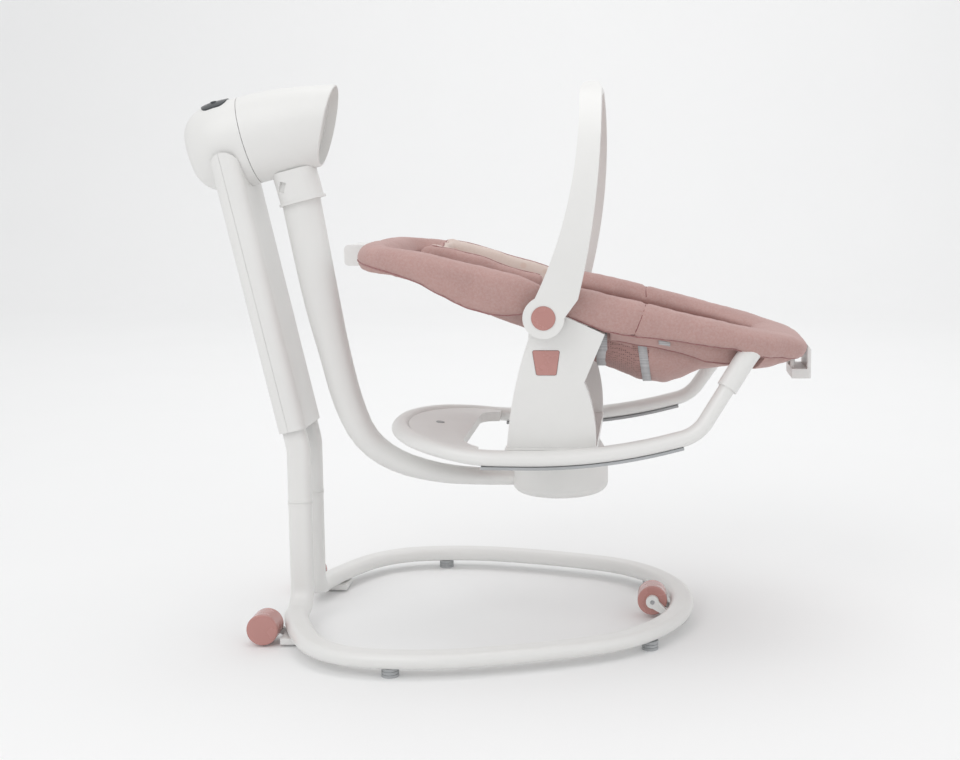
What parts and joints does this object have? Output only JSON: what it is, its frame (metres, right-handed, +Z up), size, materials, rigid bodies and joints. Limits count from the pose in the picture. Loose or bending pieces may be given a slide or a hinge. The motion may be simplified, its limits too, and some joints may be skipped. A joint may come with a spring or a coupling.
{
  "type": "baby swing",
  "caption": "Baby swing: padded reclining seat on a rocker, carried by a curved arm that hangs from a motor head on a leaning mast, over a floor hoop with rollers.",
  "frame": {"origin": "on the floor, under the middle of the whole object", "axes": "+X forward from the mast to the front of the base, +Y to the child's left, +Z up"},
  "size_m": [1.0451, 0.62, 0.915],
  "materials": {
    "painted_tube": "white satin paint",
    "white_plastic": "white satin plastic",
    "pink_plastic": "dusty pink glossy plastic",
    "grey_rubber": "mid grey rubber",
    "dark_panel": "dark grey plastic",
    "seat_fabric": "dusty pink padded woven fabric",
    "insert_fabric": "pale beige-pink printed fabric",
    "webbing": "grey webbing",
    "bare_steel": "bright steel",
    "copper": "copper winding",
    "magnet": "nickel-plated magnet",
    "board": "green circuit board"
  },
  "bodies": {
    "stand": {"base_hoop": "painted_tube", "leg_collars": "white_plastic", "upper_leg_left": "painted_tube", "upper_leg_right": "painted_tube", "mast_cover_rear": "white_plastic", "mast_cover_front": "white_plastic", "head_rear_shell": "white_plastic", "control_panel": "dark_panel", "shaft_chassis": "white_plastic", "shaft_bearings": "bare_steel", "drive_coil": "copper", "control_board": "board", "speaker": "dark_panel", "power_socket": "dark_panel", "floor_feet": "grey_rubber", "roller_bracket_left": "white_plastic", "roller_bracket_right": "white_plastic", "roller_bracket_front": "white_plastic", "roller_axles": "bare_steel"},
    "swing": {"head_front_shell": "white_plastic", "head_dish": "white_plastic", "swing_shaft": "bare_steel", "drive_magnet": "magnet", "arm_collar": "white_plastic", "swing_arm": "painted_tube", "mount_cup": "white_plastic"},
    "rocker": {"rocker_frame": "painted_tube", "rocker_pads": "grey_rubber", "dock_tray": "white_plastic", "side_panel_left": "white_plastic", "side_panel_right": "white_plastic", "panel_lid_left": "white_plastic", "panel_lid_right": "white_plastic", "front_elbow_left": "white_plastic", "front_elbow_right": "white_plastic", "foot_frame": "painted_tube", "foot_tongue": "white_plastic", "vibration_deck": "white_plastic", "battery_door": "white_plastic", "seat_sling": "seat_fabric", "hub_pins": "bare_steel", "crotch_strap": "webbing", "harness_buckle": "white_plastic"},
    "backrest": {"back_frame": "painted_tube", "back_sling": "seat_fabric", "infant_insert": "insert_fabric"},
    "toy_arch": {"toy_bar": "white_plastic", "hub_caps": "pink_plastic"},
    "snap_button_left_body": {"snap_button_left": "bare_steel"},
    "snap_button_right_body": {"snap_button_right": "bare_steel"},
    "power_key_body": {"power_key": "dark_panel"},
    "speed_key_body": {"speed_key": "dark_panel"},
    "rear_roller_left_body": {"rear_roller_left": "pink_plastic"},
    "rear_roller_right_body": {"rear_roller_right": "pink_plastic"},
    "front_roller_body": {"front_roller": "pink_plastic"},
    "swivel": {"turntable": "white_plastic"},
    "release_button_left_body": {"release_button_left": "pink_plastic"},
    "release_button_right_body": {"release_button_right": "pink_plastic"},
    "vibration_key_body": {"vibration_key": "grey_rubber"},
    "recline_handle_body": {"recline_handle": "white_plastic"}
  },
  "joints": [
    {"name": "swing", "type": "hinge", "parent": "stand", "child": "swing", "pos_m": [-0.4174, 0, 0.818], "axis": [0.9668, 0, 0.2554], "range_deg": [-15, 15]},
    {"name": "seat_swivel", "type": "hinge", "parent": "swing", "child": "swivel", "pos_m": [0.1, 0, 0.29], "axis": [0, 0, 1], "range_deg": [-90, 90]},
    {"name": "seat_lift_off", "type": "slide", "parent": "swivel", "child": "rocker", "axis": [0, 0, 1], "range_m": [0, 0.06]},
    {"name": "backrest_recline", "type": "hinge", "parent": "rocker", "child": "backrest", "pos_m": [0.09, 0, 0.543], "axis": [0, 1, 0], "range_deg": [0, 30]},
    {"name": "toy_bar_tilt", "type": "hinge", "parent": "rocker", "child": "toy_arch", "pos_m": [0.09, 0, 0.543], "axis": [0, 1, 0], "range_deg": [-30, 40]},
    {"name": "recline_handle_squeeze", "type": "slide", "parent": "backrest", "child": "recline_handle_body", "axis": [1, 0, 0], "range_m": [0, 0.005], "stiffness_N_per_m": 2000, "springref_m": -0.002},
    {"name": "rear_roller_left_spin", "type": "hinge", "parent": "stand", "child": "rear_roller_left_body", "pos_m": [-0.374, 0.15, 0.0285], "axis": [0, 1, 0], "continuous": true},
    {"name": "rear_roller_right_spin", "type": "hinge", "parent": "stand", "child": "rear_roller_right_body", "pos_m": [-0.374, -0.15, 0.0285], "axis": [0, 1, 0], "continuous": true},
    {"name": "front_roller_spin", "type": "hinge", "parent": "stand", "child": "front_roller_body", "pos_m": [0.258, 0, 0.033], "axis": [0, 1, 0], "continuous": true},
    {"name": "snap_button_left_press", "type": "slide", "parent": "stand", "child": "snap_button_left_body", "axis": [0, -1, 0], "range_m": [0, 0.002], "stiffness_N_per_m": 400, "springref_m": -0.001},
    {"name": "release_button_left_press", "type": "slide", "parent": "rocker", "child": "release_button_left_body", "axis": [0, -0.9903, 0.1392], "range_m": [0, 0.004], "stiffness_N_per_m": 800, "springref_m": -0.002},
    {"name": "snap_button_right_press", "type": "slide", "parent": "stand", "child": "snap_button_right_body", "axis": [0, 1, 0], "range_m": [0, 0.002], "stiffness_N_per_m": 400, "springref_m": -0.001},
    {"name": "release_button_right_press", "type": "slide", "parent": "rocker", "child": "release_button_right_body", "axis": [0, 0.9903, 0.1392], "range_m": [0, 0.004], "stiffness_N_per_m": 800, "springref_m": -0.002},
    {"name": "power_key_press", "type": "slide", "parent": "stand", "child": "power_key_body", "axis": [0.2554, 0, -0.9668], "range_m": [0, 0.001], "stiffness_N_per_m": 500, "springref_m": -0.001},
    {"name": "speed_key_press", "type": "slide", "parent": "stand", "child": "speed_key_body", "axis": [0.2554, 0, -0.9668], "range_m": [0, 0.001], "stiffness_N_per_m": 500, "springref_m": -0.001},
    {"name": "vibration_key_press", "type": "slide", "parent": "rocker", "child": "vibration_key_body", "axis": [-0.1236, 0, -0.9923], "range_m": [0, 0.001], "stiffness_N_per_m": 500, "springref_m": -0.001}
  ]
}
